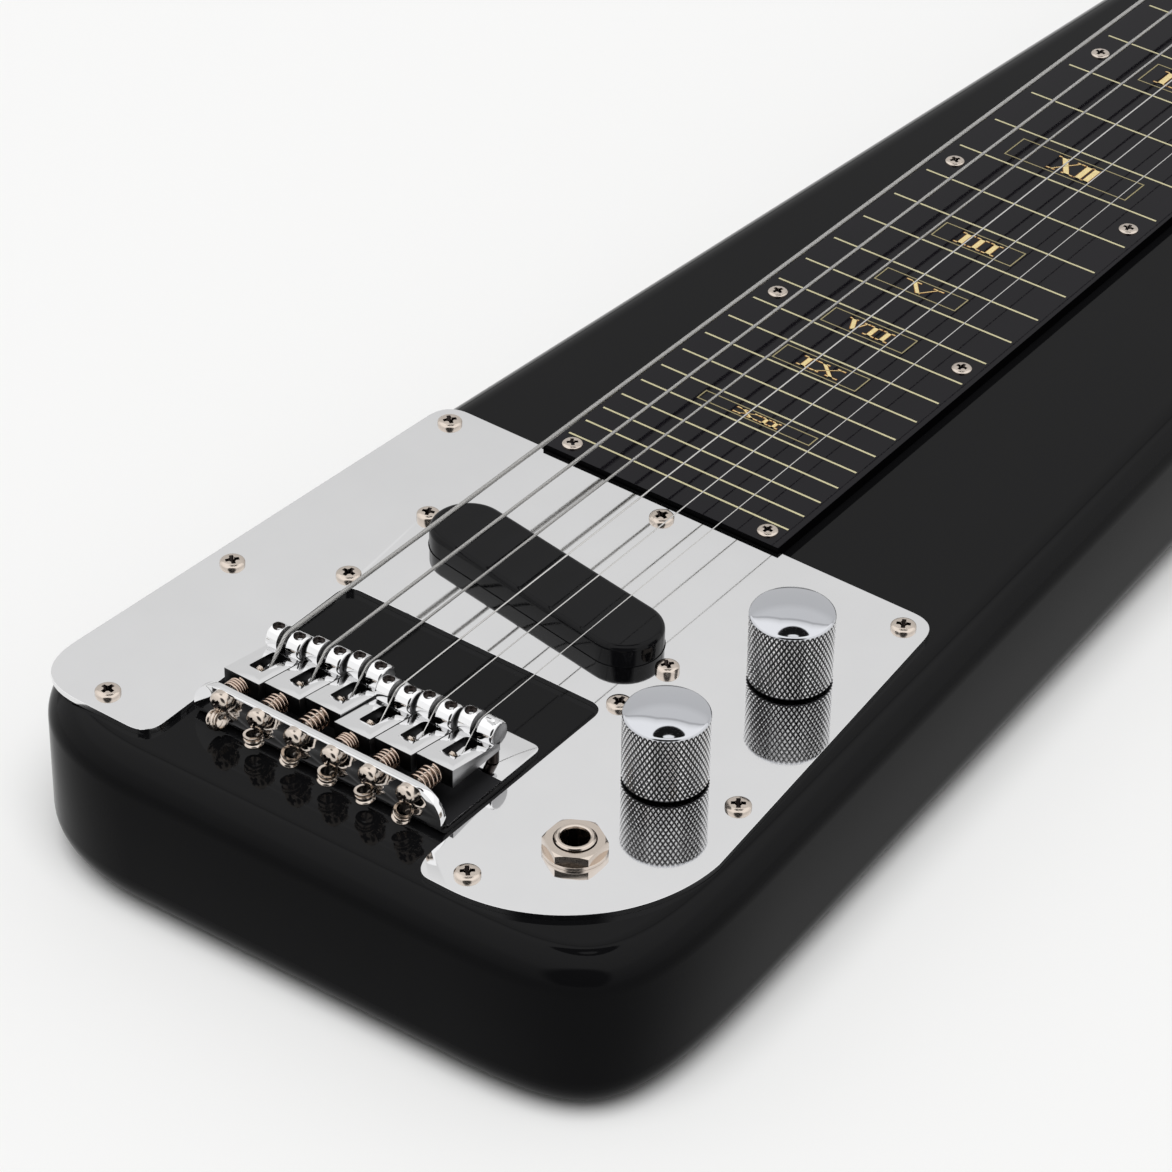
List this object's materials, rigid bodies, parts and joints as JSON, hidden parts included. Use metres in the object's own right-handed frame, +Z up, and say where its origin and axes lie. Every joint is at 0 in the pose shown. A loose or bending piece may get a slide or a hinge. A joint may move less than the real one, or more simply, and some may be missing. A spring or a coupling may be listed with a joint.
{
  "type": "lap steel guitar",
  "caption": "Black slab-bodied lap steel guitar with a chromed control plate, slanted pickup, adjustable bridge saddles, knurled knobs and worm-geared tuners.",
  "frame": {"origin": "middle of the footprint, on the surface that the underside of the body rests on", "axes": "+X towards the headstock, +Y towards the bass side, +Z up, out of the top of the body"},
  "size_m": [0.7858, 0.1764, 0.0668],
  "materials": {
    "gloss_black": "gloss lacquer",
    "chrome": "polished",
    "board_black": "satin gloss with printed lines",
    "nut_white": "satin",
    "cover_black": "gloss",
    "coil": "wound wire on a fibre plate",
    "lead_black": "matt insulation",
    "steel": "drawn wire",
    "can_grey": "plated can",
    "nickel": "plated, a little warm"
  },
  "bodies": {
    "main": {"body": "gloss_black", "control_plate": "chrome", "fretboard": "board_black", "nut": "nut_white", "bridge_plate": "chrome", "pot_volume": "can_grey", "pot_tone": "can_grey", "jack_socket": "nickel", "jack_nut": "nickel", "tuner_strip_bass": "nickel", "tuner_strip_treble": "nickel", "pickup_lead": "lead_black", "jack_lead": "lead_black", "string_1": "steel", "string_2": "steel", "string_3": "steel", "string_4": "steel", "string_5": "steel", "string_6": "steel", "saddle_spring_1": "steel", "saddle_spring_2": "steel", "saddle_spring_3": "steel", "saddle_spring_4": "steel", "saddle_spring_5": "steel", "saddle_spring_6": "steel"},
    "knob_volume": {"knob_volume": "chrome", "pot_shaft_volume": "nickel"},
    "knob_tone": {"knob_tone": "chrome", "pot_shaft_tone": "nickel"},
    "pickup": {"pickup_cover": "cover_black", "pickup_coil": "coil"},
    "pickup_screw_bass": {"pickup_screw_bass": "nickel"},
    "pickup_screw_treble": {"pickup_screw_treble": "nickel"},
    "saddle_1": {"saddle_1": "chrome"},
    "intonation_screw_1": {"intonation_screw_1": "nickel"},
    "saddle_2": {"saddle_2": "chrome"},
    "intonation_screw_2": {"intonation_screw_2": "nickel"},
    "saddle_3": {"saddle_3": "chrome"},
    "intonation_screw_3": {"intonation_screw_3": "nickel"},
    "saddle_4": {"saddle_4": "chrome"},
    "intonation_screw_4": {"intonation_screw_4": "nickel"},
    "saddle_5": {"saddle_5": "chrome"},
    "intonation_screw_5": {"intonation_screw_5": "nickel"},
    "saddle_6": {"saddle_6": "chrome"},
    "intonation_screw_6": {"intonation_screw_6": "nickel"},
    "tuner_shaft_1": {"tuner_shaft_1": "nickel"},
    "tuner_post_1": {"tuner_post_1": "nickel"},
    "tuner_shaft_2": {"tuner_shaft_2": "nickel"},
    "tuner_post_2": {"tuner_post_2": "nickel"},
    "tuner_shaft_3": {"tuner_shaft_3": "nickel"},
    "tuner_post_3": {"tuner_post_3": "nickel"},
    "tuner_shaft_4": {"tuner_shaft_4": "nickel"},
    "tuner_post_4": {"tuner_post_4": "nickel"},
    "tuner_shaft_5": {"tuner_shaft_5": "nickel"},
    "tuner_post_5": {"tuner_post_5": "nickel"},
    "tuner_shaft_6": {"tuner_shaft_6": "nickel"},
    "tuner_post_6": {"tuner_post_6": "nickel"}
  },
  "joints": [
    {"name": "knob_volume_turn", "type": "hinge", "parent": "main", "child": "knob_volume", "pos_m": [-0.27454, -0.05486, 0.05], "axis": [0, 0, 1], "range_deg": [-150, 150]},
    {"name": "knob_tone_turn", "type": "hinge", "parent": "main", "child": "knob_tone", "pos_m": [-0.32184, -0.05374, 0.05], "axis": [0, 0, 1], "range_deg": [-150, 150]},
    {"name": "pickup_screw_bass_turn", "type": "hinge", "parent": "main", "child": "pickup_screw_bass", "pos_m": [-0.27718, 0.04985, 0.0465], "axis": [0, 0, 1], "range_deg": [-720, 2160]},
    {"name": "pickup_screw_treble_turn", "type": "hinge", "parent": "main", "child": "pickup_screw_treble", "pos_m": [-0.2901, -0.03113, 0.0465], "axis": [0, 0, 1], "range_deg": [-720, 2160]},
    {"name": "pickup_height", "type": "slide", "parent": "main", "child": "pickup", "axis": [0, 0, 1], "range_m": [-0.003, 0.001], "deforming": ["pickup_lead"]},
    {"name": "intonation_screw_1_turn", "type": "hinge", "parent": "main", "child": "intonation_screw_1", "pos_m": [-0.36814, -0.01694, 0.0536], "axis": [1, 0, 0], "range_deg": [-1800, 1080]},
    {"name": "saddle_1_slide", "type": "slide", "parent": "main", "child": "saddle_1", "axis": [1, 0, 0], "range_m": [-0.0015, 0.0025], "deforming": ["saddle_spring_1", "string_1"]},
    {"name": "intonation_screw_2_turn", "type": "hinge", "parent": "main", "child": "intonation_screw_2", "pos_m": [-0.36814, -0.00614, 0.0536], "axis": [1, 0, 0], "range_deg": [-1800, 1080]},
    {"name": "saddle_2_slide", "type": "slide", "parent": "main", "child": "saddle_2", "axis": [1, 0, 0], "range_m": [-0.0015, 0.0025], "deforming": ["saddle_spring_2", "string_2"]},
    {"name": "intonation_screw_3_turn", "type": "hinge", "parent": "main", "child": "intonation_screw_3", "pos_m": [-0.36814, 0.00466, 0.0536], "axis": [1, 0, 0], "range_deg": [-1800, 1080]},
    {"name": "saddle_3_slide", "type": "slide", "parent": "main", "child": "saddle_3", "axis": [1, 0, 0], "range_m": [-0.0015, 0.0025], "deforming": ["saddle_spring_3", "string_3"]},
    {"name": "intonation_screw_4_turn", "type": "hinge", "parent": "main", "child": "intonation_screw_4", "pos_m": [-0.36814, 0.01546, 0.0536], "axis": [1, 0, 0], "range_deg": [-1800, 1080]},
    {"name": "saddle_4_slide", "type": "slide", "parent": "main", "child": "saddle_4", "axis": [1, 0, 0], "range_m": [-0.0015, 0.0025], "deforming": ["saddle_spring_4", "string_4"]},
    {"name": "intonation_screw_5_turn", "type": "hinge", "parent": "main", "child": "intonation_screw_5", "pos_m": [-0.36814, 0.02626, 0.0536], "axis": [1, 0, 0], "range_deg": [-1800, 1080]},
    {"name": "saddle_5_slide", "type": "slide", "parent": "main", "child": "saddle_5", "axis": [1, 0, 0], "range_m": [-0.0015, 0.0025], "deforming": ["saddle_spring_5", "string_5"]},
    {"name": "intonation_screw_6_turn", "type": "hinge", "parent": "main", "child": "intonation_screw_6", "pos_m": [-0.36814, 0.03706, 0.0536], "axis": [1, 0, 0], "range_deg": [-1800, 1080]},
    {"name": "saddle_6_slide", "type": "slide", "parent": "main", "child": "saddle_6", "axis": [1, 0, 0], "range_m": [-0.0015, 0.0025], "deforming": ["saddle_spring_6", "string_6"]},
    {"name": "tuner_shaft_1_turn", "type": "hinge", "parent": "main", "child": "tuner_shaft_1", "pos_m": [0.29146, -0.01394, 0.0117], "axis": [0, 1, 0], "continuous": true},
    {"name": "tuner_post_1_turn", "type": "hinge", "parent": "main", "child": "tuner_post_1", "pos_m": [0.28286, -0.01394, 0.0117], "axis": [0, 0, 1], "continuous": true, "deforming": ["string_1"]},
    {"name": "tuner_shaft_2_turn", "type": "hinge", "parent": "main", "child": "tuner_shaft_2", "pos_m": [0.32946, -0.01394, 0.0117], "axis": [0, 1, 0], "continuous": true},
    {"name": "tuner_post_2_turn", "type": "hinge", "parent": "main", "child": "tuner_post_2", "pos_m": [0.32086, -0.01394, 0.0117], "axis": [0, 0, 1], "continuous": true, "deforming": ["string_2"]},
    {"name": "tuner_shaft_3_turn", "type": "hinge", "parent": "main", "child": "tuner_shaft_3", "pos_m": [0.36746, -0.01394, 0.0117], "axis": [0, 1, 0], "continuous": true},
    {"name": "tuner_post_3_turn", "type": "hinge", "parent": "main", "child": "tuner_post_3", "pos_m": [0.35886, -0.01394, 0.0117], "axis": [0, 0, 1], "continuous": true, "deforming": ["string_3"]},
    {"name": "tuner_shaft_4_turn", "type": "hinge", "parent": "main", "child": "tuner_shaft_4", "pos_m": [0.36746, 0.03406, 0.0117], "axis": [0, 1, 0], "continuous": true},
    {"name": "tuner_post_4_turn", "type": "hinge", "parent": "main", "child": "tuner_post_4", "pos_m": [0.35886, 0.03406, 0.0117], "axis": [0, 0, 1], "continuous": true, "deforming": ["string_4"]},
    {"name": "tuner_shaft_5_turn", "type": "hinge", "parent": "main", "child": "tuner_shaft_5", "pos_m": [0.32946, 0.03406, 0.0117], "axis": [0, 1, 0], "continuous": true},
    {"name": "tuner_post_5_turn", "type": "hinge", "parent": "main", "child": "tuner_post_5", "pos_m": [0.32086, 0.03406, 0.0117], "axis": [0, 0, 1], "continuous": true, "deforming": ["string_5"]},
    {"name": "tuner_shaft_6_turn", "type": "hinge", "parent": "main", "child": "tuner_shaft_6", "pos_m": [0.29146, 0.03406, 0.0117], "axis": [0, 1, 0], "continuous": true},
    {"name": "tuner_post_6_turn", "type": "hinge", "parent": "main", "child": "tuner_post_6", "pos_m": [0.28286, 0.03406, 0.0117], "axis": [0, 0, 1], "continuous": true, "deforming": ["string_6"]}
  ],
  "couplings": [
    {"joint": "pickup_screw_bass_turn", "follows": "pickup_height", "rad_per_m": -12566},
    {"joint": "pickup_screw_treble_turn", "follows": "pickup_height", "rad_per_m": -12566},
    {"joint": "intonation_screw_1_turn", "follows": "saddle_1_slide", "rad_per_m": -12566},
    {"joint": "intonation_screw_2_turn", "follows": "saddle_2_slide", "rad_per_m": -12566},
    {"joint": "intonation_screw_3_turn", "follows": "saddle_3_slide", "rad_per_m": -12566},
    {"joint": "intonation_screw_4_turn", "follows": "saddle_4_slide", "rad_per_m": -12566},
    {"joint": "intonation_screw_5_turn", "follows": "saddle_5_slide", "rad_per_m": -12566},
    {"joint": "intonation_screw_6_turn", "follows": "saddle_6_slide", "rad_per_m": -12566},
    {"joint": "tuner_post_1_turn", "follows": "tuner_shaft_1_turn", "ratio": -0.071429},
    {"joint": "tuner_post_2_turn", "follows": "tuner_shaft_2_turn", "ratio": -0.071429},
    {"joint": "tuner_post_3_turn", "follows": "tuner_shaft_3_turn", "ratio": -0.071429},
    {"joint": "tuner_post_4_turn", "follows": "tuner_shaft_4_turn", "ratio": -0.071429},
    {"joint": "tuner_post_5_turn", "follows": "tuner_shaft_5_turn", "ratio": -0.071429},
    {"joint": "tuner_post_6_turn", "follows": "tuner_shaft_6_turn", "ratio": -0.071429}
  ]
}
